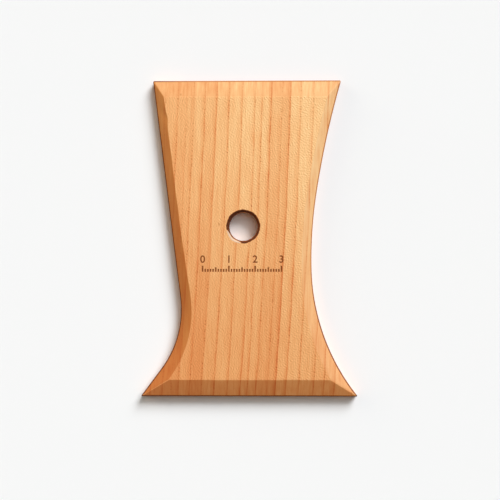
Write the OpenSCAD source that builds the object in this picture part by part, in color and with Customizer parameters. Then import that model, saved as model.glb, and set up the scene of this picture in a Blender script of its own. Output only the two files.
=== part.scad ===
// Pottery rib: one flat hardwood board with a waist, two different working profiles,
// a bevel along all four front edges, and a hole to hang it by.
// Millimetres. The back lies on z = 0, the bevelled front faces +Z, and the grain runs along Y.
// The origin is under the middle of the board's own box.

/* [Board] */
// Length along the grain, from the top edge to the bottom edge
rib_l = 120.65; // [110:0.05:135]
// Thickness of the stock
thick = 6.35; // [5:0.05:9]
// Height of the square edge that is left below the bevels
edge_h = 4; // [1.5:0.1:5]

/* [Left profile] */
// Distance of the top left corner from the centre line
left_top_x = 36.85; // [34:0.05:40]
// Distance of the bottom left tip from the centre line
left_tip_x = 41.3; // [39:0.05:44]
// Lean of the long straight stretch, in degrees off the centre line
left_lean = 7.25; // [5:0.05:9]
// Slant of the straight foot below the waist, in degrees off the centre line
left_flare = 36.6; // [32:0.1:40]
// Radius of the waist, which joins the two straight stretches
left_waist_r = 37.7; // [25:0.1:45]

/* [Right profile] */
// Distance of the top right corner from the centre line
right_top_x = 35.25; // [33:0.05:38]
// Lean of the side at the top right corner, in degrees off the centre line
right_lean = 16; // [14:0.1:18]
// Radius of the long upper sweep
right_upper_r = 349; // [300:1:450]
// Radius of the middle sweep
right_middle_r = 166; // [140:1:200]
// Radius of the lower sweep, which runs out to the bottom right tip
right_lower_r = 81; // [72:0.5:95]
// Degrees through which the upper sweep turns
right_upper_turn = 7.3; // [5:0.1:9]
// Degrees through which the middle sweep turns
right_middle_turn = 9.9; // [7:0.1:12]

/* [Bevels] */
// Width of both side bevels at the top, seen from the front
side_bevel = 3.5; // [2:0.1:5]
// Width of both side bevels at the foot, seen from the front
foot_bevel = 5; // [3:0.1:6]
// Height over the bottom edge at which the side bevels begin to widen
widen_from = 60; // [30:1:100]
// Width of the bevels along the top and bottom edges, seen from the front
end_bevel = 6.4; // [4:0.1:8]
// Rounding of the two top corners
corner_r = 0.5; // [0.3:0.1:2]
// Rounding of the two tips at the foot
tip_r = 0.25; // [0.2:0.05:0.6]
// Rounding of the four corners of the flat front
front_r = 0.4; // [0.2:0.1:1]

/* [Hole] */
// Bore of the hole
hole_d = 10.9; // [8:0.1:14]
// Width of the broken rim around the front of the hole
rim_break = 0.7; // [0.2:0.05:1]
// Distance of the hole to the left of the centre line
hole_left = 2.15; // [0:0.05:6]
// Height of the hole over the bottom edge
hole_up = 64.7; // [58:0.05:72]

/* [Hidden] */

// How far a cut runs past the surface that it opens
cut = 1;
// How finely a side and a rounded corner are divided
side_steps = 60;
round_steps = 5;
bore_fn = 96;

// A side at height y over the bottom edge is [distance from the centre line, lean], where lean
// is the side's heading in degrees off straight down, positive outwards.

// An arc that leaves p at lean a0 and turns outwards: where it is at height y
function arc_at(p, a0, r, y) =
    let(a = asin(sin(a0) + (p.y - y) / r)) [p.x + r * (cos(a0) - cos(a)), a];

// The same arc: the point at which its lean is a
function arc_end(p, a0, r, a) = p + r * [cos(a0) - cos(a), sin(a0) - sin(a)];

// Left side: the two straight stretches would cross at a point, and the waist rounds that corner
cross_y = (left_tip_x - left_top_x + rib_l * tan(left_lean)) / (tan(left_lean) + tan(left_flare));
cross_point = [left_tip_x - cross_y * tan(left_flare), cross_y];
waist_reach = left_waist_r * tan((left_lean + left_flare) / 2);
waist_from = cross_point + waist_reach * [sin(left_lean), cos(left_lean)];
waist_to = cross_point + waist_reach * [sin(left_flare), -cos(left_flare)];

function left_at(y) =
    y > waist_from.y ? [left_top_x - (rib_l - y) * tan(left_lean), -left_lean] :
    y > waist_to.y ? arc_at(waist_from, -left_lean, left_waist_r, y) :
    [left_tip_x - y * tan(left_flare), left_flare];

// Right side: three sweeps, each tangent to the one above it and tighter
upper_lean = -right_lean;
middle_lean = upper_lean + right_upper_turn;
lower_lean = middle_lean + right_middle_turn;
upper_from = [right_top_x, rib_l];
middle_from = arc_end(upper_from, upper_lean, right_upper_r, middle_lean);
lower_from = arc_end(middle_from, middle_lean, right_middle_r, lower_lean);

function right_at(y) =
    y > middle_from.y ? arc_at(upper_from, upper_lean, right_upper_r, y) :
    y > lower_from.y ? arc_at(middle_from, middle_lean, right_middle_r, y) :
    arc_at(lower_from, lower_lean, right_lower_r, y);

// Heights at which both sides are divided, from the top down
heights = [for (k = [0:side_steps]) rib_l * (1 - k / side_steps)];
left_side = [for (y = heights) left_at(y)];
right_side = [for (y = heights) right_at(y)];

// Width of a side bevel at height y
function bevel_w(y) =
    side_bevel + (foot_bevel - side_bevel) * max(0, 1 - y / widen_from);

// The inner border of a side's bevel as [height, distance] pairs, which lookup() reads
function border(side) =
    [for (k = [0:side_steps]) let(w = bevel_w(heights[k]), a = side[k][1])
        [heights[k] - w * sin(a), side[k][0] - w * cos(a)]];

// A side's own points, and as many points of its bevel's inner border
function outer_line(side) = [for (k = [0:side_steps]) [side[k][0], heights[k]]];
function inner_line(side) =
    let(pairs = border(side))
    [for (y = heights) let(v = end_bevel + y * (1 - 2 * end_bevel / rib_l)) [lookup(v, pairs), v]];

// The corner b of the way a, b, c as an arc of radius r
function fillet(a, b, c, r) =
    let(
        u = (a - b) / norm(a - b),
        v = (c - b) / norm(c - b),
        half = acos(u * v) / 2,
        centre = b + (u + v) / norm(u + v) * r / sin(half),
        start = b + u * r / tan(half) - centre,
        turn = (180 - 2 * half) * sign(v.x * u.y - v.y * u.x)
    )
    [for (k = [0:round_steps]) centre + spin(start, turn * k / round_steps)];

function spin(p, a) = [p.x * cos(a) - p.y * sin(a), p.x * sin(a) + p.y * cos(a)];

// One side from the top edge round to the bottom edge, with both of its corners rounded
function rounded(line, top_r, low_r) =
    concat(
        fillet([0, line[0].y], line[0], line[1], top_r),
        [for (k = [1:side_steps - 1]) line[k]],
        fillet(line[side_steps - 1], line[side_steps], [0, line[side_steps].y], low_r)
    );

function reversed(list) = [for (k = [len(list) - 1:-1:0]) list[k]];
function mirrored(list) = [for (p = list) [-p.x, p.y]];

// A ring round the board, clockwise from the top right corner, in the board's own frame
function ring(left, right, top_r, low_r) =
    let(run = concat(rounded(right, top_r, low_r), reversed(mirrored(rounded(left, top_r, low_r)))))
    [for (p = run) p - [0, rib_l / 2]];

outline = ring(outer_line(left_side), outer_line(right_side), corner_r, tip_r);
front_line = ring(inner_line(left_side), inner_line(right_side), front_r, front_r);

function lifted(points, z) = [for (p = points) [p.x, p.y, z]];

// The lower part of the board, which keeps its square edge
module square_slab() {
    linear_extrude(height = edge_h)
        polygon(outline);
}

// The upper part, which narrows from the outline to the border of the flat front.
// Its two flats are cut into strips that run from one side to the other.
module bevelled_crown() {
    n = len(outline);
    half = n / 2;
    polyhedron(
        points = concat(lifted(outline, edge_h), lifted(front_line, thick)),
        faces = concat(
            [for (k = [0:half - 2]) [n - 1 - k, n - 2 - k, k + 1, k]],
            [for (k = [0:half - 2]) [n + k, n + k + 1, 2 * n - 2 - k, 2 * n - 1 - k]],
            [for (k = [0:n - 1]) [k, (k + 1) % n, n + (k + 1) % n]],
            [for (k = [0:n - 1]) [k, n + (k + 1) % n, n + k]]
        )
    );
}

// The hole, with its broken front rim
module hanging_hole() {
    translate([-hole_left, hole_up - rib_l / 2, -cut])
        cylinder(h = thick + 2 * cut, d = hole_d, $fn = bore_fn);
    translate([-hole_left, hole_up - rib_l / 2, thick - rim_break])
        cylinder(h = rim_break + cut, d1 = hole_d, d2 = hole_d + 2 * (rim_break + cut), $fn = bore_fn);
}

module rib_board() {
    color("burlywood")
        difference() {
            union() {
                square_slab();
                bevelled_crown();
            }
            hanging_hole();
        }
}

rib_board();
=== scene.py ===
# %% [markdown]
# # A pottery rib
#
# A potter presses a rib against the wet wall of a turning pot to shape and smooth it. This one is
# a single board of cherry, a quarter of an inch thick. Its two long sides carry two different
# curves, all four front edges are bevelled, and a hole lets it hang from a nail.
#
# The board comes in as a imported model, which fixes its size and place. This file builds the same
# board again with softened edges, burnt edges and wood grain, and puts it in the model's place.

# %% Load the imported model
import math

import bmesh
import bpy
import numpy as np
from mathutils import Matrix, Vector
from mathutils.geometry import delaunay_2d_cdt


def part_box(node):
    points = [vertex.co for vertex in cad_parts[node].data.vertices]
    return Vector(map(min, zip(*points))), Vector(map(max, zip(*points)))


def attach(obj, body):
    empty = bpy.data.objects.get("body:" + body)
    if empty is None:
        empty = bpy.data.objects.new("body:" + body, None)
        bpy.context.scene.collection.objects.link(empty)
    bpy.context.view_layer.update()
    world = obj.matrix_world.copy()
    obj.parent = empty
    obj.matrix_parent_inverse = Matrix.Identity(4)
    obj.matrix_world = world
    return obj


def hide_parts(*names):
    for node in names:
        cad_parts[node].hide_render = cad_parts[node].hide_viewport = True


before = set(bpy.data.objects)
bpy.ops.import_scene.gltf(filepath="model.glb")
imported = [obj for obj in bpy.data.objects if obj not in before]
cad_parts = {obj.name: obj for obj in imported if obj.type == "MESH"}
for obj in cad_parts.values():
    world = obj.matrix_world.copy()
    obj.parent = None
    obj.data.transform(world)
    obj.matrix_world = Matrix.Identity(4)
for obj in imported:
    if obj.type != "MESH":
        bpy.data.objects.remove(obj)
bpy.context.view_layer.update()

# %% [markdown]
# ## Sizes
#
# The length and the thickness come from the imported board. The rest are the few sizes that shape
# the outline, the bevels and the hole. They are in millimetres, because a maker thinks in them,
# and the mesh is turned into metres at the very end.

# %% Driving sizes
MM = 0.001
board_low, board_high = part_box("rib_board")
LENGTH = (board_high.y - board_low.y) / MM
THICK = (board_high.z - board_low.z) / MM
SQUARE_EDGE = 4.0

LEFT_TOP = 36.85
LEFT_TIP = 41.3
LEFT_LEAN = math.radians(7.25)
LEFT_FLARE = math.radians(36.6)
WAIST_RADIUS = 37.7

RIGHT_TOP = 35.25
RIGHT_LEAN = math.radians(-16.0)
SWEEP_RADII = (349.0, 166.0, 81.0)
SWEEP_TURNS = (math.radians(7.3), math.radians(9.9))

SIDE_BEVEL = 3.5
FOOT_BEVEL = 5.0
WIDENS_BELOW = 60.0
END_BEVEL = 6.4
TOP_CORNER = 0.5
FOOT_TIP = 0.25
FRONT_CORNER = 0.3

HOLE_CENTRE = np.array([-2.15, 64.7 - LENGTH / 2])
BORE_RADIUS = 5.45
RIM_BREAK = 0.7
print("board, mm: long", round(LENGTH, 2), "thick", round(THICK, 2))

# %% [markdown]
# ## The two profiles
#
# A side could be traced as a row of points, but then nobody could change it. Both sides are
# really a few straight stretches and arcs that run into each other without a kink. The left side
# is a long straight, a waist and a slanted foot. The right side is three sweeps, each tighter
# than the one above it. Each function below gives the side's distance from the centre line and
# its lean, for any height over the bottom edge.


# %% The sides as functions of height
def arc_at(start, lean, radius, height):
    """An arc that leaves start with that lean and turns outwards: its distance and lean at height."""
    here = np.arcsin(np.clip(np.sin(lean) + (start[1] - height) / radius, -1, 1))
    return start[0] + radius * (np.cos(lean) - np.cos(here)), here


def arc_end(start, lean, radius, end_lean):
    """The point at which the same arc has reached end_lean."""
    step = [np.cos(lean) - np.cos(end_lean), np.sin(lean) - np.sin(end_lean)]
    return np.array(start) + radius * np.array(step)


def left_side(height):
    """The left side, as a distance to the left of the centre line."""
    rise = LEFT_TIP - LEFT_TOP + LENGTH * math.tan(LEFT_LEAN)
    cross_y = rise / (math.tan(LEFT_LEAN) + math.tan(LEFT_FLARE))
    cross = np.array([LEFT_TIP - cross_y * math.tan(LEFT_FLARE), cross_y])
    reach = WAIST_RADIUS * math.tan((LEFT_LEAN + LEFT_FLARE) / 2)
    waist_top = cross + reach * np.array([math.sin(LEFT_LEAN), math.cos(LEFT_LEAN)])
    waist_foot = cross + reach * np.array([math.sin(LEFT_FLARE), -math.cos(LEFT_FLARE)])
    straight = LEFT_TOP - (LENGTH - height) * math.tan(LEFT_LEAN)
    foot = LEFT_TIP - height * math.tan(LEFT_FLARE)
    waist, waist_lean = arc_at(waist_top, -LEFT_LEAN, WAIST_RADIUS, height)
    where = [height > waist_top[1], height > waist_foot[1]]
    distance = np.select(where, [straight, waist], foot)
    lean = np.select(where, [-LEFT_LEAN + 0 * height, waist_lean], LEFT_FLARE)
    return distance, lean


def right_side(height):
    """The right side, as a distance to the right of the centre line."""
    start, lean = np.array([RIGHT_TOP, LENGTH]), RIGHT_LEAN
    distance, leans = arc_at(start, lean, SWEEP_RADII[0], height)
    for radius, tighter, turn in zip(SWEEP_RADII, SWEEP_RADII[1:], SWEEP_TURNS):
        start, lean = arc_end(start, lean, radius, lean + turn), lean + turn
        below = height <= start[1]
        further, further_lean = arc_at(start, lean, tighter, height)
        distance = np.where(below, further, distance)
        leans = np.where(below, further_lean, leans)
    return distance, leans


for name, side in (("left", left_side), ("right", right_side)):
    print(name, "side is narrowest at", round(side(np.linspace(0, LENGTH, 400))[0].min(), 2), "mm")

# %% [markdown]
# ## Two rings of stations
#
# The bevel is a band between the outline and the border of the flat front. It is easiest to build
# from two rings with the same number of points, one for each line, because then point 17 of one
# always joins point 17 of the other. At the corners both rings turn a small arc, so that the
# mitre where two bevels meet is a soft fold and not a knife edge.
#
# The bevels were sanded by hand, so their inner border isn't quite even. It wanders a little
# along its whole length, and near the top left corner the block slipped and cut deeper.

# %% Bevel widths
SLIP_HEIGHT = 105.3
SLIP_LENGTH = 2.4
SLIP_DEPTH = 0.45
WANDER = 0.11
WANDER_WAVES = (3, 5, 8, 13, 21, 34)


def bevel_width(height):
    """How wide a side's bevel is, seen from the front."""
    widening = np.clip(1 - height / WIDENS_BELOW, 0, None)
    return SIDE_BEVEL + (FOOT_BEVEL - SIDE_BEVEL) * widening


def slip(height):
    """How much wider the left bevel is where the sanding block slipped."""
    return SLIP_DEPTH * np.exp(-(((height - SLIP_HEIGHT) / SLIP_LENGTH) ** 2))


def no_slip(height):
    """The right bevel was sanded evenly."""
    return 0 * height


def wandering(run, seed):
    """A smooth, closed wander from -1 to 1 over a run that goes from 0 to 1."""
    draw = np.random.default_rng(seed)
    total = np.zeros_like(run)
    for waves in WANDER_WAVES:
        total += np.sin(2 * math.pi * (waves * run + draw.random())) * draw.uniform(0.3, 1)
    return total / np.abs(total).max()


print("side bevels, mm wide: top", bevel_width(LENGTH), "foot", round(bevel_width(0), 2))


# %% Stations along the sides, the corners and the ends
SIDE_STATIONS = 150
END_STATIONS = 76
CORNER_STATIONS = 7
CORNER_ROOM = 1.6


def unit(v):
    """A vector of the same direction and length 1."""
    return v / np.linalg.norm(v)


def side_lines(side, sign, extra_width):
    """A side from top to bottom, as its edge and the inner border of its bevel."""
    between = np.linspace(LENGTH - CORNER_ROOM, CORNER_ROOM, SIDE_STATIONS)
    height = np.concatenate([[LENGTH], between, [0]])
    distance, lean = side(height)
    width = bevel_width(height) + extra_width(height)
    border_height = height - width * np.sin(lean)
    border = distance - width * np.cos(lean)
    inner_height = END_BEVEL + height * (1 - 2 * END_BEVEL / LENGTH)
    inner = np.interp(inner_height[::-1], border_height[::-1], border[::-1])[::-1]
    edge_line = np.stack([sign * distance, height - LENGTH / 2], 1)
    return edge_line, np.stack([sign * inner, inner_height - LENGTH / 2], 1)


def rounded(before, corner, after, radius):
    """The corner between before and after, turned as an arc of that radius."""
    to_before, to_after = unit(before - corner), unit(after - corner)
    half = math.acos(to_before @ to_after) / 2
    centre = corner + unit(to_before + to_after) * radius / math.sin(half)
    start = corner + to_before * radius / math.tan(half) - centre
    end = corner + to_after * radius / math.tan(half) - centre
    angle = math.atan2(start[0] * end[1] - start[1] * end[0], start @ end)
    turns = [Matrix.Rotation(angle * t, 2) for t in np.linspace(0, 1, CORNER_STATIONS)]
    return np.array([centre + np.array(turn @ Vector(start)) for turn in turns])


def closed_ring(left, right, top_radius, foot_radius):
    """A ring clockwise from the top right corner: right side, bottom edge, left side, top edge."""
    top_middle, foot_middle = np.array([0, right[0][1]]), np.array([0, right[-1][1]])
    top_right = rounded(top_middle, right[0], right[1], top_radius)
    foot_right = rounded(right[-2], right[-1], foot_middle, foot_radius)
    foot_left = rounded(foot_middle, left[-1], left[-2], foot_radius)
    top_left = rounded(left[1], left[0], top_middle, top_radius)
    shares = np.linspace(0, 1, END_STATIONS + 2)[1:-1, None]
    bottom = foot_right[-1] * (1 - shares) + foot_left[0] * shares
    top = top_left[-1] * (1 - shares) + top_right[0] * shares
    runs = [top_right, right[1:-1], foot_right, bottom, foot_left, left[-2:0:-1], top_left, top]
    return np.concatenate(runs)


left_edge, left_border = side_lines(left_side, -1, slip)
right_edge, right_border = side_lines(right_side, 1, no_slip)
outline = closed_ring(left_edge, right_edge, TOP_CORNER, FOOT_TIP)
border = closed_ring(left_border, right_border, FRONT_CORNER, FRONT_CORNER)
stations = len(outline)
run = np.arange(stations) / stations
outward = outline - border
bevel_run = np.linalg.norm(outward, axis=1)
outward /= bevel_run[:, None]
border += outward * WANDER * wandering(run, seed=4)[:, None]
bevel_run = np.linalg.norm(outline - border, axis=1)
print(stations, "stations; the bevel runs", round(bevel_run.min(), 2), "to", round(bevel_run.max(), 2))

# %% [markdown]
# ## The cut across the edge
#
# At every station the edge has the same cut: the flat front, a softened arris, the bevel, which
# hand sanding left a little rounded, the burnt arris, the square edge, and the back. A softened
# arris is a quadratic curve: it starts and ends on the two faces and is pulled towards the sharp
# corner between them.
#
# The first and last points of the cut lie just inside the two flats. They guard them: the
# averaged normals of the curve stop there, so the flats shade as flats.
#
# The board was cut out with a laser, so each point of the cut also says how burnt it is. A thin
# dark line stays along the arris under the bevel. Below it the walls on the left and at the foot
# are nearly natural wood, and those that face the window, to the right and above all up, are
# toasted darker. That darkening is painted, so that they throw less of the window's light back onto
# the floor. The dark line is painted shade: it is darker on the sides away from the window and
# fainter on those that face it. A painted picture could hold this too, but numbers on the points
# follow the edge exactly.
#
# At the foot the cut crosses the edge at a slant, and a width that is measured along the cut looks
# narrower there. So each such width is divided by the squint, the sine of the angle between them.

# %% Points of the cut, each as a distance out from the border and a height
GUARD = 0.4
FRONT_ARRIS = 0.32
BURNT_ARRIS = 0.12
BACK_ARRIS = 0.3
CROWN = 0.06
CROWN_SHARES = (0.15, 0.3, 0.5, 0.7, 0.82)
ARRIS_STEPS = 4
OUTLINE_BURN = 0.78
# Painted shade: the burnt line is eased on edges that face the window, so it stays darker in shade.
OUTLINE_LIT_EASE = 0.36
OUTLINE_STARTS = 0.38
OUTLINE_FULL = 0.28
LEAST_SQUINT = 0.3
WALL_BURN = 0.16
# Painted darkening of the walls that face the window, most of those facing up, to hold back their
# bounce.
LIT_WALL_DARKENING = 0.28
TOP_WALL_DARKENING = 0.8
BURN_DOWN = 0.3
WINDOW_SIDE = np.array([0.7, 0.7])
WINDOW_SIDE_FROM = 0.45


def points_at(distance, height):
    """One point for each station."""
    return np.stack(np.broadcast_arrays(distance, height), -1)


def softened(before, corner, after, reach):
    """A corner of the cut as a quadratic curve that starts and ends that far from it."""
    into = before - corner
    out = after - corner
    start = corner + into * (reach / np.linalg.norm(into, axis=-1, keepdims=True))
    end = corner + out * (reach / np.linalg.norm(out, axis=-1, keepdims=True))
    curve = []
    for t in np.linspace(0, 1, ARRIS_STEPS + 1):
        curve.append(start * (1 - t) ** 2 + corner * 2 * t * (1 - t) + end * t**2)
    return curve


def edge_cut(run_out, lit_side, wall_burn_and_lit_darkening, squint):
    """The rows of the edge from the front guard to the back guard, and how burnt each point is."""
    # Painted shade: the burnt line is fainter where the edge faces the window.
    outline_burn_and_shade = OUTLINE_BURN - OUTLINE_LIT_EASE * lit_side
    front_guard = points_at(-GUARD + 0 * run_out, THICK)
    front = points_at(0 * run_out, THICK)
    shoulder = points_at(run_out, SQUARE_EDGE)
    foot = points_at(run_out, 0)
    back_guard = points_at(run_out - BACK_ARRIS - GUARD, 0)
    rows = [front_guard, *softened(front_guard, front, shoulder, FRONT_ARRIS)]
    burnt = [0 * lit_side] * len(rows)
    slope = (shoulder - front) / np.linalg.norm(shoulder - front, axis=1, keepdims=True)
    lift = np.stack([-slope[:, 1], slope[:, 0]], 1)
    burnt_rows = softened(front, shoulder, foot, BURNT_ARRIS / squint[:, None])
    for share in CROWN_SHARES:
        point = rows[ARRIS_STEPS + 1] * (1 - share) + burnt_rows[0] * share
        rows.append(point + lift * CROWN * 4 * share * (1 - share))
        burnt.append(0 * lit_side)
    for back_from_arris, burn in ((OUTLINE_STARTS, 0 * lit_side), (OUTLINE_FULL, outline_burn_and_shade)):
        rows.append(burnt_rows[0] - slope * (back_from_arris / squint)[:, None])
        burnt.append(burn)
    rows += burnt_rows
    burnt += [outline_burn_and_shade] * (ARRIS_STEPS + 1)
    for height in (SQUARE_EDGE - BURN_DOWN, SQUARE_EDGE / 2):
        rows.append(points_at(run_out, height))
        burnt.append(wall_burn_and_lit_darkening)
    rows += softened(shoulder, foot, back_guard, BACK_ARRIS)
    burnt += [wall_burn_and_lit_darkening] * (ARRIS_STEPS + 1)
    rows.append(back_guard)
    burnt.append(0 * lit_side)
    return np.array(rows), np.array(burnt)


# How far each edge faces the window, which paints its wall darker and its burnt line fainter.
lit_side = np.clip(outward @ WINDOW_SIDE / WINDOW_SIDE_FROM, 0, 1)
wall_burn_and_lit_darkening = WALL_BURN + LIT_WALL_DARKENING * lit_side * (1 + TOP_WALL_DARKENING * np.clip(outward[:, 1], 0, 1))
along = np.roll(outline, -1, axis=0) - np.roll(outline, 1, axis=0)
squint = np.abs(outward[:, 0] * along[:, 1] - outward[:, 1] * along[:, 0])
squint = np.clip(squint / np.linalg.norm(along, axis=1), LEAST_SQUINT, 1)
cut_rows, cut_burnt = edge_cut(bevel_run, lit_side, wall_burn_and_lit_darkening, squint)
print(len(cut_rows), "rows across the edge")

# %% [markdown]
# ## The hole
#
# The hole is a second set of rings: the flat front, the broken rim, the bore and the back. A
# broken rim is a small bevel that keeps a hole from splintering.
#
# The laser burnt this rim all round. It was then sanded once more at the lower left, which left a
# crescent of bare wood with a thin burnt line inside it. A raised cosine gives how wide the rim is
# there and how far down it the bare wood reaches, so the crescent runs out to nothing at both
# ends. Inside, the bore is scorched on its left half.

# %% The rim and the bore: sizes, and how burnt each station is
HOLE_STATIONS = 120
HOLE_ARRIS = 0.16
BACK_BREAK = 0.25
BACK_CURVE = 0.1
BACK_BURN = (0.6, 0.2)
RIM_BURN = 0.62
RIM_DARKEST = 0.95
DARKEST_AT = math.radians(135)
RIM_SHARES = (0.2, 0.3, 0.4, 0.5, 0.6, 0.7, 0.8, 0.9)
RIM_WANDER = 0.12
BORE_HEIGHTS = (4.4, 3.2, 2.0, 0.9)
SCORCHED_BORE = 1.2
SCORCHED_AT = math.radians(170)
BARE_BORE = 0.35
BARE_MIDDLE = math.radians(228)
BARE_HALF = math.radians(42)
BARE_SHARE = 0.8
BARE_ABOVE = 0.1
BARE_GROWS = 1.7
BARE_FADE = 0.08
BARE_MOUTH = 0.25
BARE_RIM = 0.35

hole_angle = np.arange(HOLE_STATIONS) * 2 * math.pi / HOLE_STATIONS
from_bare = np.abs((hole_angle - BARE_MIDDLE + math.pi) % (2 * math.pi) - math.pi)
rim_wander = wandering(hole_angle / (2 * math.pi), seed=11)
upper_left = 0.5 + 0.5 * np.cos(hole_angle - DARKEST_AT)
left_half = 0.5 + 0.5 * np.cos(hole_angle - SCORCHED_AT)
sanded = 0.5 + 0.5 * np.cos(math.pi * np.clip(from_bare / BARE_HALF, 0, 1))


def rim_burn(share):
    """How burnt the rim is, at a share of its way down to the mouth. Below 0 is bare wood."""
    bare_to = (BARE_SHARE + BARE_ABOVE) * np.clip(BARE_GROWS * sanded, 0, 1) - BARE_ABOVE
    level = RIM_BURN + (RIM_DARKEST - RIM_BURN) * np.maximum(upper_left, 1 - share)
    across = np.clip((share - bare_to) / BARE_FADE, -1, 1)
    return np.where(across > 0, across * level, across)


# %% Rows of the hole, from the front guard through the bore to the back guard
def hole_cut():
    """Rows as a radius and a height for each station round the hole, and how burnt each row is."""
    ones = np.ones(HOLE_STATIONS)
    rim = BORE_RADIUS + RIM_BREAK + RIM_WANDER * rim_wander + BARE_RIM * sanded
    mouth_radius = BORE_RADIUS + BARE_MOUTH * sanded
    guard = points_at(rim + GUARD, THICK)
    front = points_at(rim, THICK)
    mouth = points_at(mouth_radius, THICK - RIM_BREAK)
    back_mouth = points_at(BORE_RADIUS * ones, BACK_BREAK)
    back = points_at((BORE_RADIUS + BACK_BREAK) * ones, 0)
    back_guard = points_at((BORE_RADIUS + BACK_BREAK + GUARD) * ones, 0)
    rows = [guard]
    burnt = [0 * ones]
    rim_curve = softened(guard, front, mouth, HOLE_ARRIS)
    mouth_curve = softened(front, mouth, back_mouth, HOLE_ARRIS)
    rows += rim_curve
    burnt += [rim_burn(share) for share in np.linspace(0, BARE_ABOVE, len(rim_curve))]
    for share in RIM_SHARES:
        rows.append(rim_curve[-1] * (1 - share) + mouth_curve[0] * share)
        burnt.append(rim_burn(share))
    rows += mouth_curve
    burnt += [rim_burn(1.0)] * len(mouth_curve)
    for height in BORE_HEIGHTS:
        rows.append(points_at(BORE_RADIUS * ones, height))
        burnt.append(np.clip(SCORCHED_BORE * left_half**2 - BARE_BORE, 0, 1))
    lowest = points_at(BORE_RADIUS * ones, BORE_HEIGHTS[-1])
    rows += softened(lowest, back_mouth, back, BACK_CURVE)
    burnt += [BACK_BURN[0] * ones] * (ARRIS_STEPS + 1)
    rows += softened(back_mouth, back, back_guard, BACK_CURVE)
    burnt += [ones * level for level in np.linspace(*BACK_BURN, ARRIS_STEPS + 1)]
    rows.append(back_guard)
    burnt.append(0 * ones)
    return np.array(rows), np.array(burnt)


hole_rows, hole_burnt = hole_cut()
print(len(hole_rows), "rows through the hole")

# %% [markdown]
# ## From rings to one closed mesh
#
# Between rings the faces are a grid of four-sided faces. The two flats have a hole in them, and
# a flat with a hole is filled with a constrained Delaunay triangulation: it joins the points it
# is given into good triangles and keeps every edge it is told to keep. A loose grid of inner
# points keeps the triangles small.


# %% A mesh under construction
points = []
burns = []
faces = []


def add_rings(rings, burnt):
    """Adds closed rings of points, joins each to the next, and gives the index of every point."""
    first = len(points)
    count, around = rings.shape[:2]
    points.extend(rings.reshape(-1, 3).tolist())
    burns.extend(np.broadcast_to(burnt, (count, around)).ravel().tolist())
    index = first + np.arange(count * around).reshape(count, around)
    for this, following in zip(index, index[1:]):
        for a, b, c, d in zip(this, np.roll(this, -1), np.roll(following, -1), following):
            faces.append((a, b, c, d))
    return index


edge_points = border[None] + outward[None] * cut_rows[:, :, :1]
edge_rings = np.concatenate([edge_points, cut_rows[:, :, 1:]], -1)
edge_index = add_rings(edge_rings, cut_burnt)

spokes = np.stack([np.cos(hole_angle), np.sin(hole_angle)], 1)
hole_points = HOLE_CENTRE + spokes[None] * hole_rows[:, :, :1]
hole_rings = np.concatenate([hole_points, hole_rows[:, :, 1:]], -1)
hole_index = add_rings(hole_rings, hole_burnt)
print(len(points), "points and", len(faces), "faces on the edge and in the hole")

# %% Fill the two flats
FILL_PITCH = 3.0
CLEAR = 1.2


def inside(ring, places):
    """Which places lie inside a ring: a line to the right of them crosses it an odd number of times."""
    x, y = places[:, :1], places[:, 1:]
    x0, y0 = ring[:, 0], ring[:, 1]
    x1, y1 = np.roll(x0, -1), np.roll(y0, -1)
    spans = (y0 > y) != (y1 > y)
    with np.errstate(divide="ignore", invalid="ignore"):
        crosses = spans & (x < x0 + (y - y0) * (x1 - x0) / (y1 - y0))
    return crosses.sum(1) % 2 == 1


def fill_flat(outer, inner, height):
    """Fills the flat between an outer and an inner ring, given as indices of points."""
    known = [*outer, *inner]
    places = np.array([points[i][:2] for i in known])
    outer_ring, inner_ring = places[: len(outer)], places[len(outer) :]
    low, high = outer_ring.min(0), outer_ring.max(0)
    grid = np.stack(np.meshgrid(*(np.arange(a, b, FILL_PITCH) for a, b in zip(low, high))), -1)
    grid = grid.reshape(-1, 2)
    apart = np.linalg.norm(grid[:, None] - places[None], axis=2).min(1)
    keep = inside(outer_ring, grid) & ~inside(inner_ring, grid) & (apart > CLEAR)
    grid = grid[keep]
    loops = []
    for first, count in ((0, len(outer)), (len(outer), len(inner))):
        loops += [(first + k, first + (k + 1) % count) for k in range(count)]
    given = [Vector(p) for p in np.concatenate([places, grid])]
    placed, _, triangles, origins, _, _ = delaunay_2d_cdt(given, loops, [], 0, 1e-6)
    index = []
    for place, origin in zip(placed, origins):
        if origin and origin[0] < len(known):
            index.append(known[origin[0]])
        else:
            index.append(len(points))
            points.append([place[0], place[1], height])
            burns.append(0.0)
    middles = np.array([np.mean([placed[k] for k in t], axis=0) for t in triangles])
    wanted = inside(outer_ring, middles) & ~inside(inner_ring, middles)
    faces.extend(tuple(index[k] for k in t) for t, w in zip(triangles, wanted) if w)
    return int(wanted.sum())


print("front:", fill_flat(edge_index[0], hole_index[0], THICK), "triangles")
print("back:", fill_flat(edge_index[-1], hole_index[-1], 0.0), "triangles")


# %% Make the board
def make_board(name):
    """The points and faces so far as one object, in metres, with its burn as an attribute."""
    mesh = bpy.data.meshes.new(name)
    mesh.from_pydata([[MM * x for x in p] for p in points], [], faces)
    shell = bmesh.new()
    shell.from_mesh(mesh)
    bmesh.ops.recalc_face_normals(shell, faces=shell.faces)
    open_edges = sum(not e.is_manifold for e in shell.edges)
    shell.to_mesh(mesh)
    shell.free()
    burn = mesh.attributes.new("burn", "FLOAT", "POINT")
    burn.data.foreach_set("value", np.array(burns, np.float32))
    made = bpy.data.objects.new(name, mesh)
    bpy.context.scene.collection.objects.link(made)
    print(name, "has", len(mesh.vertices), "points and", open_edges, "open edges")
    return made


board = make_board("rib_board_wood")

# %% [markdown]
# ## A small scale on the front
#
# Below the hole a scale of three centimetres is burnt into the wood, so that the potter can
# measure a wall or a foot ring with the tool in hand. A laser burns such marks a tenth of a
# millimetre deep. They could be a dark colour only, but real depth catches the light in close
# views, so a cutter takes them out of the board with a Boolean modifier.

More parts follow.
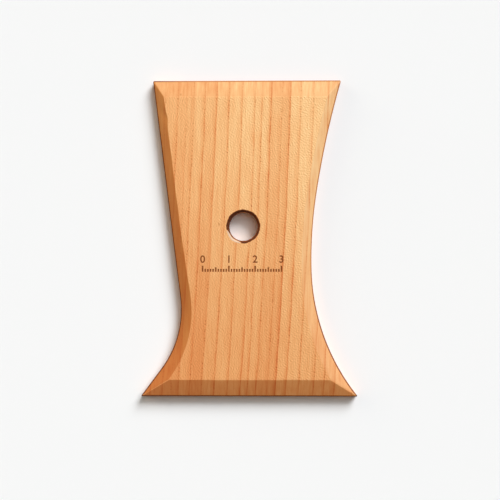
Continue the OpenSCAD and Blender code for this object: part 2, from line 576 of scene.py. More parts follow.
# %% Cutter for the scale
SCALE_LEFT = -17.6
SCALE_FOOT = -12.9
SCALE_DEPTH = 0.13
SCALE_BURN = 0.6
STROKE = 0.6
BOLDER = 0.07
TICKS = 30
TICK_HEIGHTS = {0: 2.3, 5: 1.7}
SHORT_TICK = 1.1
NUMBER_SIZE = 3.9
NUMBER_FOOT = -9.4
SCALE_ROOM = 3.0


def bar(shell, x, y, wide, tall):
    """A bar of the cutter, which stands in the front face."""
    size = Matrix.Diagonal((wide * MM, tall * MM, 2 * SCALE_DEPTH * MM, 1))
    place = Matrix.Translation(Vector((x, y + tall / 2, THICK)) * MM)
    bmesh.ops.create_cube(shell, size=1, matrix=place @ size)


def number(text, x):
    """A number of the cutter, centred over x."""
    curve = bpy.data.curves.new("scale_number", "FONT")
    curve.body = text
    curve.size = NUMBER_SIZE * MM
    curve.align_x = "CENTER"
    curve.offset = BOLDER * MM
    curve.extrude = SCALE_DEPTH * MM
    made = bpy.data.objects.new("scale_number", curve)
    made.location = Vector((x, NUMBER_FOOT, THICK)) * MM
    bpy.context.scene.collection.objects.link(made)
    return made


def scale_cutter():
    """The ticks and numbers as one mesh object."""
    shell = bmesh.new()
    for tick in range(TICKS + 1):
        tall = TICK_HEIGHTS.get(tick % 10, SHORT_TICK)
        bar(shell, SCALE_LEFT + tick, SCALE_FOOT, STROKE, tall)
    labels = [number(str(k), SCALE_LEFT + 10 * k) for k in range(TICKS // 10 + 1)]
    bpy.context.view_layer.update()
    graph = bpy.context.evaluated_depsgraph_get()
    for label in labels:
        letters = bpy.data.meshes.new_from_object(label.evaluated_get(graph))
        letters.transform(label.matrix_world)
        shell.from_mesh(letters)
        curve = label.data
        bpy.data.objects.remove(label)
        bpy.data.curves.remove(curve)
    bmesh.ops.remove_doubles(shell, verts=shell.verts, dist=1e-7)
    bmesh.ops.recalc_face_normals(shell, faces=shell.faces)
    mesh = bpy.data.meshes.new("scale_cutter")
    shell.to_mesh(mesh)
    shell.free()
    made = bpy.data.objects.new("scale_cutter", mesh)
    bpy.context.scene.collection.objects.link(made)
    return made


# %% Cut the scale and mark its floor as burnt
def cut_scale(body, cutter):
    """Takes the cutter out of the body and removes it."""
    cutting = body.modifiers.new("scale", "BOOLEAN")
    cutting.operation = "DIFFERENCE"
    cutting.solver = "EXACT"
    cutting.use_self = True
    cutting.object = cutter
    bpy.context.view_layer.update()
    graph = bpy.context.evaluated_depsgraph_get()
    cut = bpy.data.meshes.new_from_object(body.evaluated_get(graph))
    body.modifiers.remove(cutting)
    old = body.data
    body.data = cut
    cut.name = body.name
    bpy.data.meshes.remove(old)
    bpy.data.objects.remove(cutter)


def burn_scale(mesh):
    """Burns every point that lies on the floor of the scale's marks."""
    co = np.zeros(len(mesh.vertices) * 3, np.float32)
    mesh.vertices.foreach_get("co", co)
    co = co.reshape(-1, 3) / MM
    value = np.zeros(len(co), np.float32)
    mesh.attributes["burn"].data.foreach_get("value", value)
    floor = np.abs(co[:, 2] - (THICK - SCALE_DEPTH)) < SCALE_DEPTH / 4
    across = (co[:, 0] > SCALE_LEFT - SCALE_ROOM) & (co[:, 0] < SCALE_LEFT + TICKS + SCALE_ROOM)
    level = (co[:, 1] > SCALE_FOOT - SCALE_ROOM) & (co[:, 1] < NUMBER_FOOT + NUMBER_SIZE)
    value[floor & across & level] = SCALE_BURN
    mesh.attributes["burn"].data.foreach_set("value", value)
    return int((floor & across & level).sum())


cut_scale(board, scale_cutter())
print("points on the floor of the scale:", burn_scale(board.data))
SMOOTH_BELOW = math.radians(30)
board.data.shade_smooth()
board.data.set_sharp_from_angle(angle=SMOOTH_BELOW)
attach(board, "root")
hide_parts("rib_board")

# %% [markdown]
# ## Nodes by name
#
# A wood material is mostly sums. A few helpers keep those sums readable: one adds any node and
# feeds its inputs with numbers or with other nodes' outputs, and the others are the sums, curves
# and textures that the wood needs again and again.


# %% Helpers for sums of nodes
def node(tree, kind, feeds, out=0, **settings):
    """Adds a node, feeds its inputs, and gives one of its outputs."""
    made = tree.nodes.new(kind)
    for name, value in settings.items():
        setattr(made, name, value)
    feed(tree, made, feeds)
    return made.outputs[out]


def feed(tree, made, feeds):
    """Gives each named input of a node a number, or a link from another node's output."""
    for key, value in feeds.items():
        if isinstance(value, bpy.types.NodeSocket):
            tree.links.new(value, made.inputs[key])
        else:
            made.inputs[key].default_value = value


def maths(tree, operation, a, b=0.0, c=0.0):
    """One Math node. MULTIPLY_ADD gives a times b plus c."""
    return node(tree, "ShaderNodeMath", {0: a, 1: b, 2: c}, operation=operation)


def times(tree, first, *others):
    """The product of two or more values."""
    for other in others:
        first = maths(tree, "MULTIPLY", first, other)
    return first


def plus(tree, first, *others):
    """The sum of two or more values."""
    for other in others:
        first = maths(tree, "ADD", first, other)
    return first


def minus(tree, a, b):
    """The difference of two values."""
    return maths(tree, "SUBTRACT", a, b)


def rise(tree, value, low, high, top=1.0, bottom=0.0):
    """Goes smoothly from bottom to top as value goes from low to high."""
    feeds = {"Value": value, "From Min": low, "From Max": high, "To Min": bottom, "To Max": top}
    return node(tree, "ShaderNodeMapRange", feeds, interpolation_type="SMOOTHSTEP")


def fall(tree, value, low, high):
    """Goes smoothly from 1 to 0 as value goes from low to high."""
    return rise(tree, value, low, high, 0.0, 1.0)


def shaped(tree, value, shape):
    """A curve of straight pieces from 0 to 1, through the given points."""
    made = tree.nodes.new("ShaderNodeFloatCurve")
    curve = made.mapping.curves[0]
    for k, (x, y) in enumerate(shape):
        point = curve.points[k] if k < 2 else curve.points.new(x, y)
        point.location = (x, y)
        point.handle_type = "VECTOR"
    made.mapping.update()
    tree.links.new(value, made.inputs["Value"])
    return made.outputs[0]


# %% Helpers for places, colours and noise
def parts(tree, value):
    """The x, y and z of a vector."""
    return node(tree, "ShaderNodeSeparateXYZ", {0: value}).node.outputs


def vector(tree, x, y, z=0.0):
    """A vector from three values."""
    return node(tree, "ShaderNodeCombineXYZ", {0: x, 1: y, 2: z})


def vector_maths(tree, operation, a, b=(0.0, 0.0, 0.0), out=0):
    """One Vector Math node."""
    return node(tree, "ShaderNodeVectorMath", {0: a, 1: b}, out, operation=operation)


def blend(tree, share, a, b, way="MIX"):
    """Mixes two colours."""
    feeds = {"Factor": share, 6: a, 7: b}
    return node(tree, "ShaderNodeMix", feeds, 2, data_type="RGBA", blend_type=way)


def noise(tree, place, detail=2.0, roughness=0.5):
    """A noise value from 0 to 1."""
    feeds = {"Vector": place, "Scale": 1.0, "Detail": detail, "Roughness": roughness}
    return node(tree, "ShaderNodeTexNoise", feeds)


def stretched_noise(tree, place, per_mm, detail, roughness=0.5):
    """Noise from -1 to 1. The smaller a number of per_mm is, the longer it is drawn that way."""
    drawn = vector_maths(tree, "MULTIPLY", place, per_mm)
    return times(tree, minus(tree, noise(tree, drawn, detail, roughness), 0.5), 2.0)


# %% Helpers for groups
FLOAT, VECTOR, COLOUR = "NodeSocketFloat", "NodeSocketVector", "NodeSocketColor"


def new_group(name, inputs, outputs):
    """A node group with named sockets: its tree, its inputs by name, and its outputs by name."""
    tree = bpy.data.node_groups.new(name, "ShaderNodeTree")
    for way, sockets in (("INPUT", inputs), ("OUTPUT", outputs)):
        for title, kind in sockets.items():
            tree.interface.new_socket(title, in_out=way, socket_type=kind)
    given = tree.nodes.new("NodeGroupInput").outputs
    return tree, given, tree.nodes.new("NodeGroupOutput").inputs


def finished(tree, out, results):
    """Links a group's results to its output sockets and gives the group."""
    for title, value in results.items():
        tree.links.new(value, out[title])
    print("group", tree.name, "has", len(tree.nodes), "nodes")
    return tree


def use_group(tree, group, feeds):
    """Places a group in a tree and gives its outputs by name."""
    made = tree.nodes.new("ShaderNodeGroup")
    made.node_tree = group
    feed(tree, made, feeds)
    return made.outputs


# %% [markdown]
# ## Growth lines
#
# The board was sawn along a radius of the trunk, so each year's growth shows on the front as a
# stripe along the board: pale early wood that darkens slowly and ends in a thin dark line. A wave
# texture would space them evenly, and trees don't. Here the lines are listed where they cross the
# board near its top. One curve turns the place across the board into the number of the year, and
# more curves turn that number back into where its line is, how dark the line is and how pale the
# wood before it is. The distance to the line then shapes the line in millimetres.
#
# Further down, all lines lean a little to the left together, small noise makes them waver, and a
# few of them change: one fades, others grow bolder or their wood darker.

# %% The years: the place of the dark line in mm, how dark it is, and how pale the wood before it is
YEARS = (
    (-45.0, 0.15, 0.84),
    (-40.5, 0.12, 0.84),
    (-36.4, 0.16, 0.84),
    (-32.0, 0.12, 0.84),
    (-27.3, 0.14, 0.80),
    (-23.9, 0.04, 0.80),
    (-21.2, 0.12, 0.83),
    (-16.9, 0.22, 0.90),
    (-12.5, 0.18, 0.86),
    (-7.7, 0.20, 0.96),
    (-2.6, 0.20, 0.98),
    (2.35, 0.18, 1.02),
    (5.0, 0.19, 1.01),
    (8.4, 0.30, 1.00),
    (12.6, 0.12, 0.89),
    (15.6, 0.25, 0.87),
    (19.6, 0.15, 1.03),
    (24.4, 0.16, 1.07),
    (30.2, 0.22, 1.05),
    (34.0, 0.18, 1.00),
    (38.0, 0.18, 0.98),
    (45.0, 0.12, 1.04),
)
AT_FOOT = {-12.5: (0.3, 0.9), 2.35: (1.2, 0.97), 5.0: (0.9, 0.97), 8.4: (0.7, 1.0), 19.6: (1.5, 1.0)}

LAST = len(YEARS) - 1
LEFTMOST = YEARS[0][0]
SPAN = YEARS[-1][0] - LEFTMOST
NUMBERS = [k / LAST for k in range(LAST + 1)]
SHARES = [(place - LEFTMOST) / SPAN for place, _, _ in YEARS]
print(LAST, "years across", SPAN, "mm")

# %% Where a place lies across the years
COUNTED_AT = 44.8
LEAN_LEFT = 0.034
BEND_LEFT = 0.00021
WAVERS = ((0.05, 0.03, 0.0, 0.8), (0.25, 0.12, 3.0, 0.45))


def across_years(tree, x, y):
    """The distance across the board, in mm, with the lines' lean, bend and waver taken out."""
    down = minus(tree, COUNTED_AT, y)
    across = plus(tree, x, plus(tree, times(tree, down, LEAN_LEFT), times(tree, down, down, BEND_LEFT)))
    for x_per_mm, y_per_mm, apart, size in WAVERS:
        way = vector(tree, times(tree, x, x_per_mm), times(tree, y, y_per_mm), apart)
        across = plus(tree, across, times(tree, minus(tree, noise(tree, way, 1.0), 0.5), size))
    return across


def for_year(tree, number, column, most=1.0):
    """What a column holds for this year. A curve reaches only 1, so the column is scaled by most."""
    found = shaped(tree, number, zip(NUMBERS, [value / most for value in column]))
    return times(tree, found, most)


# %% The group for growth lines
CHANGES_FROM = 25.0
CHANGED_BY = -20.0
LATE_WOOD = (-2.0, -0.1)
LATE_SHARE = 0.45
LINE_CORE = (0.15, 0.5)
LINE_END = (0.04, 0.25)
PATCH_APART = 5.1
PATCH_PER_MM = 0.15
PATCH_NOISE = (0.25, 0.75)
PATCH_DARK = (2.1, 1.1)


def growth_lines():
    """A group that gives, for a place in mm: the year, its line, how dark it is, and its tone."""
    outputs = {"Year": FLOAT, "Line": FLOAT, "Dark": FLOAT, "Tone": FLOAT}
    tree, given, out = new_group("growth_lines", {"Place": VECTOR}, outputs)
    xyz = parts(tree, given["Place"])
    across = across_years(tree, xyz[0], xyz[1])
    share = maths(tree, "DIVIDE", minus(tree, across, LEFTMOST + LINE_END[1]), SPAN)
    year = maths(tree, "CEIL", times(tree, shaped(tree, share, zip(SHARES, NUMBERS)), LAST))
    number = maths(tree, "DIVIDE", year, LAST)
    line_at = times(tree, shaped(tree, number, zip(NUMBERS, SHARES)), SPAN)
    past = minus(tree, across, plus(tree, line_at, LEFTMOST))

    changed = rise(tree, xyz[1], CHANGES_FROM, CHANGED_BY)
    at_foot = [AT_FOOT.get(place, (1.0, 1.0)) for place, _, _ in YEARS]
    bolder = for_year(tree, number, [change[0] for change in at_foot], 2.0)
    bolder = node(tree, "ShaderNodeMix", {0: changed, 2: 1.0, 3: bolder})
    paler = for_year(tree, number, [change[1] for change in at_foot])
    paler = node(tree, "ShaderNodeMix", {0: changed, 2: 1.0, 3: paler})
    tone = times(tree, for_year(tree, number, [year_tone for _, _, year_tone in YEARS], 2.0), paler)

    slowly = rise(tree, past, *LATE_WOOD)
    thin = fall(tree, maths(tree, "ABSOLUTE", past), *LINE_CORE)
    late = plus(tree, times(tree, slowly, LATE_SHARE), times(tree, thin, 1 - LATE_SHARE))
    ended = fall(tree, past, *LINE_END)
    darkness = times(tree, for_year(tree, number, [year_dark for _, year_dark, _ in YEARS]), bolder)
    patch = vector(tree, times(tree, year, PATCH_APART), times(tree, xyz[1], PATCH_PER_MM))
    patchy = rise(tree, noise(tree, patch), *PATCH_NOISE, *PATCH_DARK)
    dark = times(tree, late, ended, darkness, patchy)
    line = times(tree, thin, ended)
    return finished(tree, out, {"Year": year, "Line": line, "Dark": dark, "Tone": tone})


lines_group = growth_lines()

# %% [markdown]
# ## Ray fleck
#
# A radial cut also splits the rays, thin ribbons that run from bark to heart. On the flat front
# they show as short fine strokes, lighter or darker than the wood round them, and they turn
# slowly from one side of the board to the other. A Gabor texture makes just such strokes: short
# ripples of one width, scattered at random, with a direction that is an input. So one texture can
# turn across the board, where stretched noise would need a layer for each direction.

# %% The group for ray fleck
FLECK_SPAN = (-26.0, 26.0)
FLECK_DRIFT = 0.14
FLECK_LEAN = (math.radians(14), math.radians(50))
FLECK_STRENGTH = (0.75, 1.1)
FLECK_SCALE = 0.62
FLECK_LINES = 1.85
FLECK_ORDER = 0.5


def ray_fleck():
    """A group that gives the fleck at a place in mm, from about -1 to 1."""
    tree, given, out = new_group("ray_fleck", {"Place": VECTOR}, {"Fleck": FLOAT})
    xyz = parts(tree, given["Place"])
    across = maths(tree, "MULTIPLY_ADD", minus(tree, xyz[1], COUNTED_AT), FLECK_DRIFT, xyz[0])
    feeds = {
        "Vector": given["Place"],
        "Scale": FLECK_SCALE,
        "Frequency": FLECK_LINES,
        "Anisotropy": FLECK_ORDER,
        "Orientation": rise(tree, across, *FLECK_SPAN, FLECK_LEAN[1], FLECK_LEAN[0]),
    }
    strokes = minus(tree, node(tree, "ShaderNodeTexGabor", feeds, "Value"), 0.5)
    strength = rise(tree, across, *FLECK_SPAN, FLECK_STRENGTH[1], FLECK_STRENGTH[0])
    return finished(tree, out, {"Fleck": times(tree, strokes, strength, 2.0)})


fleck_group = ray_fleck()

# %% [markdown]
# ## Pores, fibres and streaks
#
# Pores are tiny dark dashes along the grain. Some of those in the dark lines are big enough to be
# seen one by one, so a line looks stitched and not drawn. They come from a Voronoi texture in one
# dimension: it scatters points along the length, and each year gets its own scatter.
#
# Fibres, short grain and streaks are all noise, drawn out along the board by different amounts.
# The streaks belong to the bevels, which cut through the years at a shallow angle and spread
# small changes of colour into soft bands.

# %% The group for pores, fibres and streaks
PORES_PER_MM = (2.6, 1.1, 2.6)
PORE_EDGE = (0.15, 0.42)
STITCHES_PER_MM = 0.55
STITCH_APART = 17.3
STITCH_EDGE = (0.08, 0.2)
RUNS_APART = 3.7
RUNS_PER_MM = 0.09
RUN_NOISE = (0.4, 0.62)
FIBRES_PER_MM = (1.1, 0.05, 1.1)
GRAIN_PER_MM = (2.8, 1.7, 2.8)
STREAKS_PER_MM = (1.3, 0.09, 0.5)


def pores_and_fibres():
    """A group that gives small pores, big pores in the lines, and fibres, grain and streaks."""
    outputs = {"Pores": FLOAT, "Stitches": FLOAT, "Fibres": FLOAT, "Grain": FLOAT, "Streaks": FLOAT}
    inputs = {"Place": VECTOR, "Year": FLOAT, "Line": FLOAT}
    tree, given, out = new_group("pores_and_fibres", inputs, outputs)
    place, year = given["Place"], given["Year"]
    dashes = vector_maths(tree, "MULTIPLY", place, PORES_PER_MM)
    cells = node(tree, "ShaderNodeTexVoronoi", {"Vector": dashes, "Scale": 1.0}).node.outputs
    how_dark = node(tree, "ShaderNodeSeparateColor", {0: cells["Color"]})
    pores = times(tree, fall(tree, cells["Distance"], *PORE_EDGE), how_dark)

    down = parts(tree, place)[1]
    along = plus(tree, times(tree, down, STITCHES_PER_MM), times(tree, year, STITCH_APART))
    feeds = {"W": along, "Scale": 1.0}
    scatter = node(tree, "ShaderNodeTexVoronoi", feeds, "Distance", voronoi_dimensions="1D")
    run = vector(tree, times(tree, year, RUNS_APART), times(tree, down, RUNS_PER_MM))
    in_a_run = rise(tree, noise(tree, run, 1.0), *RUN_NOISE)
    stitches = times(tree, fall(tree, scatter, *STITCH_EDGE), given["Line"], in_a_run)
    results = {
        "Pores": pores,
        "Stitches": stitches,
        "Fibres": stretched_noise(tree, place, FIBRES_PER_MM, 4.0, 0.6),
        "Grain": stretched_noise(tree, place, GRAIN_PER_MM, 1.0),
        "Streaks": stretched_noise(tree, place, STREAKS_PER_MM, 1.5),
    }
    return finished(tree, out, results)


pores_group = pores_and_fibres()

# %% [markdown]
# ## From dark and light to colour
#
# Where cherry is darker it is also redder: blue falls faster than green, and red falls slowest.
# So everything above is gathered into two numbers, the tone of the bands and the tone of the fine
# texture, and each colour channel takes its own power of them. That keeps every line, pore and
# fleck in the same family of colours, and no second colour has to be chosen for each.

# %% The group for the tone
BAND_POWERS = (0.3, 1.0, 1.52)
FINE_POWERS = (0.64, 1.0, 1.47)


def toned_wood():
    """A group that darkens a colour by the tone of its bands and of its fine texture."""
    inputs = {"Color": COLOUR, "Bands": FLOAT, "Fine": FLOAT}
    tree, given, out = new_group("toned_wood", inputs, {"Color": COLOUR})
    channels = []
    for band_power, fine_power in zip(BAND_POWERS, FINE_POWERS):
        band = maths(tree, "POWER", given["Bands"], band_power)
        channels.append(times(tree, band, maths(tree, "POWER", given["Fine"], fine_power)))
    tint = node(tree, "ShaderNodeCombineColor", dict(enumerate(channels)))
    return finished(tree, out, {"Color": blend(tree, 1.0, given["Color"], tint, "MULTIPLY")})


tone_group = toned_wood()

# %% [markdown]
# ## The two tones of the cherry
#
# The tone of the bands comes from the years and their lines, from slow mottling and from the
# streaks. The tone of the fine texture comes from fleck, fibres, grain and pores. The fleck is on
# the two flats only, because the bevels cut the rays at another angle and hardly show them.

# %% Gather the tones
MOTTLE_PER_MM = (0.16, 0.035, 0.16)
MOTTLE_TONE = 0.1
FLECK_TONE = 0.42
FIBRE_TONE = 0.08
GRAIN_TONE = 0.12
PORE_TONE = 0.2
STITCH_TONE = 0.3
BEVEL_FINE = 0.5
FLAT_STREAKS = 0.2
BEVEL_STREAKS = 0.32
FOOT_LINES = 1.15
TOP_LINES = 0.8
FACES_UP = (-0.33, 0.33)
PORES_COVER = 1 / 6
DARKEST = 0.05


def bands_and_fine(tree, place, flat, upward):
    """The two tones of the wood at a place, its pores and fleck, and how dark its line is."""
    lines = use_group(tree, lines_group, {"Place": place})
    feeds = {"Place": place, "Year": lines["Year"], "Line": lines["Line"]}
    small = use_group(tree, pores_group, feeds)
    fleck = times(tree, use_group(tree, fleck_group, {"Place": place})["Fleck"], flat)

    dark = times(tree, lines["Dark"], rise(tree, upward, *FACES_UP, TOP_LINES, FOOT_LINES))
    mottle = stretched_noise(tree, place, MOTTLE_PER_MM, 3.0, 0.55)
    mottled = maths(tree, "MULTIPLY_ADD", mottle, MOTTLE_TONE, 1.0)
    streaks = times(tree, small["Streaks"], rise(tree, flat, 0.0, 1.0, FLAT_STREAKS, BEVEL_STREAKS))
    bands = times(tree, lines["Tone"], minus(tree, 1.0, dark), mottled, plus(tree, streaks, 1.0))

    fine = times(tree, fleck, FLECK_TONE)
    fine = plus(tree, fine, times(tree, small["Fibres"], FIBRE_TONE))
    fine = plus(tree, fine, times(tree, small["Grain"], GRAIN_TONE))
    fine = minus(tree, fine, times(tree, small["Pores"], PORE_TONE))
    fine = minus(tree, fine, times(tree, small["Stitches"], STITCH_TONE))
    fine = times(tree, fine, rise(tree, flat, 0.0, 1.0, 1.0, BEVEL_FINE))
    fine = maths(tree, "MAXIMUM", plus(tree, fine, 1.0 + PORE_TONE * PORES_COVER), DARKEST)
    return bands, fine, plus(tree, small["Pores"], small["Stitches"]), fleck, dark


# %% [markdown]
# ## Burns and marks
#
# The mesh carries how burnt each point is, from 0 to 1, and less than 0 where fresh wood is bare.
# Gentle heat toasts the wood, more heat scorches it a deep red brown, and only the edge itself
# turns to char. A laser leaves fine stripes down the edge as it pulses. Both foot tips are burnt
# black, because the beam turned there and dwelt for a moment, and three small dark marks are the
# wood's own.

# %% The group for burns and marks
TOASTED = (0.50, 0.175, 0.036, 1)
SCORCHED = (0.18, 0.038, 0.004, 1)
CHAR = (0.045, 0.007, 0.001, 1)
CHAR_STRIPE = (0.10, 0.022, 0.003, 1)
BARE = (0.69, 0.47, 0.31, 1)
TIPS = ((-41.0, -60.2), (41.0, -60.2))
TIP_REACH = (0.3, 0.75)
MARKS = ((29.0, -50.9, 0.3, 1.5), (-26.0, 54.8, 0.4, 0.6), (-11.3, 5.2, 0.5, 0.8))
MARK_EDGE = (0.3, 1.2)
MARK_SHARE = 0.5
BARE_LEVELS = (-0.1, -0.8)
TOASTS = (0.0, 0.4)
SCORCHES = (0.35, 0.7)
CHARS = (0.7, 1.0)
STRIPE_LEVELS = (0.35, 0.75)
RAGGED_PER_MM = (1.3, 1.3, 1.3)
RAGGED = 0.25
STRIPES_PER_MM = (5.0, 5.0, 0.3)


def burns_and_marks():
    """A group that lays burns and small dark marks over a colour."""
    inputs = {"Color": COLOUR, "Place": VECTOR, "Burn": FLOAT}
    outputs = {"Color": COLOUR, "Burnt": FLOAT, "Stripes": FLOAT}
    tree, given, out = new_group("burns_and_marks", inputs, outputs)
    place, burn = given["Place"], given["Burn"]
    level = vector_maths(tree, "MULTIPLY", place, (1.0, 1.0, 0.0))
    for x, y in TIPS:
        away = vector_maths(tree, "DISTANCE", level, (x, y, 0.0), "Value")
        burn = maths(tree, "MAXIMUM", burn, fall(tree, away, *TIP_REACH))
    ragged = stretched_noise(tree, place, RAGGED_PER_MM, 3.0)
    burnt = times(tree, burn, maths(tree, "MULTIPLY_ADD", ragged, RAGGED, 1.0))
    stripes = noise(tree, vector_maths(tree, "MULTIPLY", place, STRIPES_PER_MM))

    colour = given["Color"]
    for x, y, half_wide, half_tall in MARKS:
        from_mark = vector_maths(tree, "SUBTRACT", level, (x, y, 0.0))
        scaled = vector_maths(tree, "MULTIPLY", from_mark, (1 / half_wide, 1 / half_tall, 0.0))
        away = vector_maths(tree, "LENGTH", scaled, out="Value")
        colour = blend(tree, rise(tree, away, *MARK_EDGE, 0.0, MARK_SHARE), colour, TOASTED)
    colour = blend(tree, rise(tree, given["Burn"], *BARE_LEVELS), colour, BARE)
    char = blend(tree, rise(tree, stripes, *STRIPE_LEVELS), CHAR, CHAR_STRIPE)
    for heat, burnt_colour in ((TOASTS, TOASTED), (SCORCHES, SCORCHED), (CHARS, char)):
        colour = blend(tree, rise(tree, burnt, *heat), colour, burnt_colour)
    return finished(tree, out, {"Color": colour, "Burnt": burnt, "Stripes": stripes})


burn_group = burns_and_marks()

# %% [markdown]
# ## The cherry
#
# The colour starts from pale cherry, paler and yellower near the top and darker and redder towards
# the foot. The two tones go over it, then the burns.
#
# Every slope is tinted a little darker, most of all in its red. That is painted sheen and shade: it
# stands in for the pale sheen of the bevels that face the window and keeps their red below white.
# The slopes that face left, and a little those that face down, are painted darker and redder still:
# that is painted shade on the bevels away from the window. The dot product of the normal and the
# shaded side measures that, on slopes only. Oil leaves the wood a little glossy, and burnt wood is
# rougher.

# %% The material
PALE_TOP = (0.93, 0.53, 0.227, 1)
PALE_FOOT = (0.775, 0.347, 0.123, 1)
PALE_SPAN = (-62.0, 62.0)
# Painted shade on slopes that face left and a little down, and painted sheen and shade on every slope.
SHADE_SIDE = (-0.95, -0.3, 0.0)
SHADE_TINT = (0.86, 0.60, 0.33, 1)
BEVEL_SHEEN_AND_SHADE = (0.88, 0.91, 0.97, 1)
FLAT_FACING = (0.955, 0.99)
SLOPE_FACING = (0.2, 0.5)
SHADE_LEVELS = (-0.5, 0.5)
ROUGHNESS = 0.52
MORE_ROUGH = 0.2
OILED_GLOSS = 0.22
FLECK_RELIEF = 0.25
STRIPE_RELIEF = 2.0
RELIEF = 0.00003
RELIEF_STRENGTH = 0.35


def wood_colour(tree, place, normal, flat, bands, fine):
    """The clean wood's colour, with painted sheen on slopes and painted shade on those that face left.
    """
    share = rise(tree, parts(tree, place)[1], *PALE_SPAN)
    feeds = {"Color": blend(tree, share, PALE_FOOT, PALE_TOP), "Bands": bands, "Fine": fine}
    base = use_group(tree, tone_group, feeds)["Color"]
    # Painted sheen and shade: every slope is dulled a little, most in its red.
    bevelled = blend(tree, 1.0, base, BEVEL_SHEEN_AND_SHADE, "MULTIPLY")
    sloped = rise(tree, maths(tree, "ABSOLUTE", parts(tree, normal)[2]), *SLOPE_FACING)
    # Painted shade: slopes that face left, and a little down, turn darker and redder.
    across = vector_maths(tree, "DOT_PRODUCT", normal, SHADE_SIDE, "Value")
    painted_shade = times(tree, rise(tree, across, *SHADE_LEVELS), sloped)
    bevelled = blend(tree, painted_shade, bevelled, blend(tree, 1.0, bevelled, SHADE_TINT, "MULTIPLY"))
    return blend(tree, flat, bevelled, base)


def cherry():
    """The board's material."""
    material = bpy.data.materials.new("oiled_cherry")
    material.use_nodes = True
    tree = material.node_tree
    tree.nodes.clear()
    shown = tree.nodes.new("ShaderNodeOutputMaterial")
    wood = tree.nodes.new("ShaderNodeBsdfPrincipled")
    tree.links.new(wood.outputs[0], shown.inputs["Surface"])

    metres = node(tree, "ShaderNodeTexCoord", {}, "Object")
    place = node(tree, "ShaderNodeVectorMath", {0: metres, "Scale": 1 / MM}, operation="SCALE")
    normal = node(tree, "ShaderNodeNewGeometry", {}, "Normal")
    facing = parts(tree, normal)
    flat = rise(tree, maths(tree, "ABSOLUTE", facing[2]), *FLAT_FACING)
    bands, fine, pores, fleck, dark = bands_and_fine(tree, place, flat, facing[1])
    base = wood_colour(tree, place, normal, flat, bands, fine)
    burn = node(tree, "ShaderNodeAttribute", {}, "Fac", attribute_name="burn")
    burnt = use_group(tree, burn_group, {"Color": base, "Place": place, "Burn": burn})

    rough = maths(tree, "MULTIPLY_ADD", dark, MORE_ROUGH, ROUGHNESS)
    rough = plus(tree, rough, times(tree, burnt["Burnt"], MORE_ROUGH))
    relief = minus(tree, times(tree, fleck, FLECK_RELIEF), pores)
    charred = times(tree, burnt["Stripes"], burnt["Burnt"], STRIPE_RELIEF)
    height = plus(tree, relief, charred)
    feeds = {"Height": height, "Strength": RELIEF_STRENGTH, "Distance": RELIEF}
    looks = {
        "Base Color": burnt["Color"],
        "Roughness": rough,
        "Specular IOR Level": OILED_GLOSS,
        "Normal": node(tree, "ShaderNodeBump", feeds),
    }
    feed(tree, wood, looks)
    return material


board.data.materials.clear()
board.data.materials.append(cherry())
print("materials:", [m.name for m in board.data.materials])

# %% [markdown]
# ## Floor, light and camera
#
# The board lies on a pale floor. Three soft lamps light it. Each is a sun lamp with a wide disc,
# which is as bright at one corner of the floor as at the other. The window is the strongest, low
# at the upper right, so the left and bottom bevels fall into shade and the board throws a soft
# shadow to the lower left. The glow of the ceiling comes from higher up on the same side and
# widens that shadow. A dim white card at the upper left lifts the left bevel. An even sky, dim and
# warm as a room's walls are, fills what is left, and is white where the camera or a gloss sees it.
# One lamp could be as bright, but its shadow would be too sharp near the board or too wide.

# %% Floor
FLOOR_SIZE = 3.0
FLOOR_GAP = 0.00003
FLOOR_WHITE = 0.95


def floor_plane():
    """A wide plane just under the board."""
    mesh = bpy.data.meshes.new("floor")
    h = FLOOR_SIZE / 2
    corners = [(-h, -h, -FLOOR_GAP), (h, -h, -FLOOR_GAP), (h, h, -FLOOR_GAP), (-h, h, -FLOOR_GAP)]
    mesh.from_pydata(corners, [], [(0, 1, 2, 3)])
    made = bpy.data.objects.new("floor", mesh)
    bpy.context.scene.collection.objects.link(made)
    paper = bpy.data.materials.new("pale_floor")
    paper.use_nodes = True
    surface = paper.node_tree.nodes["Principled BSDF"]
    surface.inputs["Base Color"].default_value = (FLOOR_WHITE, FLOOR_WHITE, FLOOR_WHITE, 1)
    surface.inputs["Roughness"].default_value = 1.0
    surface.inputs["Specular IOR Level"].default_value = 0.0
    mesh.materials.append(paper)
    return made


floor_plane()

# %% Lamps and sky
WINDOW_COLOUR = (0.93, 0.96, 1.0)
ROOM_COLOUR = (1.0, 0.91, 0.73)
WHITE = (1.0, 1.0, 1.0)
SKY_SHARE = 0.105


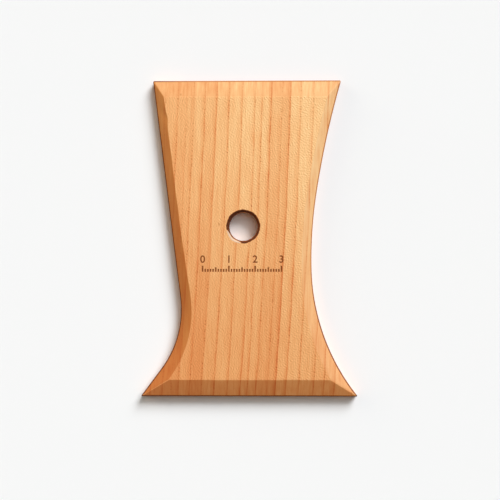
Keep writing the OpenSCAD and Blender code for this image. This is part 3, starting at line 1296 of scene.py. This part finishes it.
def soft_lamp(name, share, disc, height, turn, colour):
    """A wide sun lamp that gives a level surface that share of full light. Angles are in degrees."""
    height, turn = math.radians(height), math.radians(turn)
    lamp = bpy.data.lights.new(name, "SUN")
    lamp.angle = math.radians(disc)
    lamp.color = colour
    lamp.energy = share * math.pi / math.sin(height)
    made = bpy.data.objects.new(name, lamp)
    level = math.cos(height)
    towards = Vector((math.cos(turn) * level, math.sin(turn) * level, math.sin(height)))
    made.rotation_mode = "QUATERNION"
    made.rotation_quaternion = towards.to_track_quat("Z", "Y")
    bpy.context.scene.collection.objects.link(made)
    print(name, "gives", round(share * 100, 1), "% of full light")


def sky():
    """An even sky, dim as a light and white where it is seen."""
    world = bpy.data.worlds.new("studio")
    world.use_nodes = True
    bpy.context.scene.world = world
    tree = world.node_tree
    background = tree.nodes["Background"]
    path = tree.nodes.new("ShaderNodeLightPath").outputs
    seen = maths(tree, "MAXIMUM", path["Is Camera Ray"], path["Is Glossy Ray"])
    seen = maths(tree, "MAXIMUM", seen, path["Is Transmission Ray"])
    strength = maths(tree, "ADD", maths(tree, "MULTIPLY", seen, 1 - SKY_SHARE), SKY_SHARE)
    colour = blend(tree, seen, (*ROOM_COLOUR, 1), (*WHITE, 1))
    tree.links.new(colour, background.inputs["Color"])
    tree.links.new(strength, background.inputs["Strength"])


soft_lamp("window", share=0.624, disc=33, height=35.5, turn=57, colour=WINDOW_COLOUR)
soft_lamp("ceiling_glow", share=0.24, disc=50, height=62, turn=45, colour=WHITE)
soft_lamp("white_card", share=0.058, disc=40, height=14, turn=150, colour=ROOM_COLOUR)
sky()

# %% Camera
CAMERA_DISTANCE = 0.520
SEEN_ACROSS = 0.1925
LOOK_AT = Vector((0.00028, -0.00446, 0))
TILT_RIGHT = math.radians(1.5)
TILT_DOWN = math.radians(1.3)


def make_camera():
    """A camera over the board, a little to the right of and below straight above it."""
    data = bpy.data.cameras.new("camera")
    data.lens = data.sensor_width * CAMERA_DISTANCE / SEEN_ACROSS
    back = Vector((math.tan(TILT_RIGHT), -math.tan(TILT_DOWN), 1)).normalized()
    right = (-back).cross(Vector((0, 1, 0))).normalized()
    upward = right.cross(-back)
    made = bpy.data.objects.new("camera", data)
    axes = Matrix((right, upward, back)).transposed().to_4x4()
    made.matrix_world = Matrix.Translation(LOOK_AT + back * CAMERA_DISTANCE) @ axes
    bpy.context.scene.collection.objects.link(made)
    bpy.context.scene.camera = made
    print("lens", round(data.lens, 1), "mm")


make_camera()
bpy.context.scene.view_settings.view_transform = "Standard"
